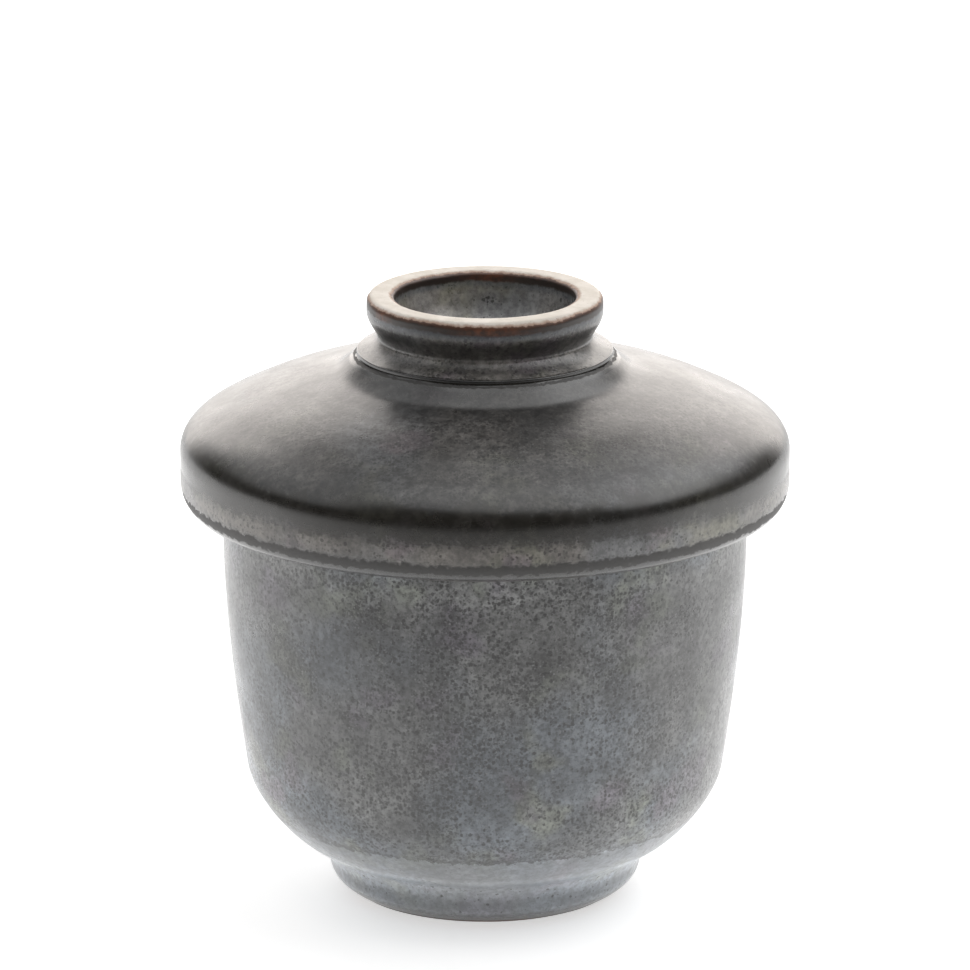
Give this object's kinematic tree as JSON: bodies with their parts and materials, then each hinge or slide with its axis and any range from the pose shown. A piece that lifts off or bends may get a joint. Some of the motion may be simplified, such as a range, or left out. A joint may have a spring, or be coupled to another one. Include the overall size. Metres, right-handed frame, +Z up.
{
  "type": "lidded stoneware cup",
  "caption": "Tapered stoneware cup on a ring foot, with a loose domed cap lid that hangs over its rim and stands on its own ring knob as a shallow dish when turned over.",
  "frame": {"origin": "centre of the ring that the cup stands on, at table height", "axes": "+Z up along the turning axis of cup and lid; the object is round, so X and Y are free"},
  "size_m": [0.093, 0.093, 0.0942],
  "materials": {
    "cup_glaze": "satin dark grey glaze with fine iron specks over pale stoneware, bare on the ring it stands on",
    "lid_glaze": "satin dark grey glaze with fine iron specks over pale stoneware, bare on the knob's crest"
  },
  "bodies": {
    "cup": {"cup": "cup_glaze"},
    "lid": {"lid": "lid_glaze"}
  },
  "joints": [
    {"name": "lid_lift", "type": "slide", "parent": "cup", "child": "lid", "axis": [0, 0, 1], "range_m": [0, 0.1]}
  ]
}
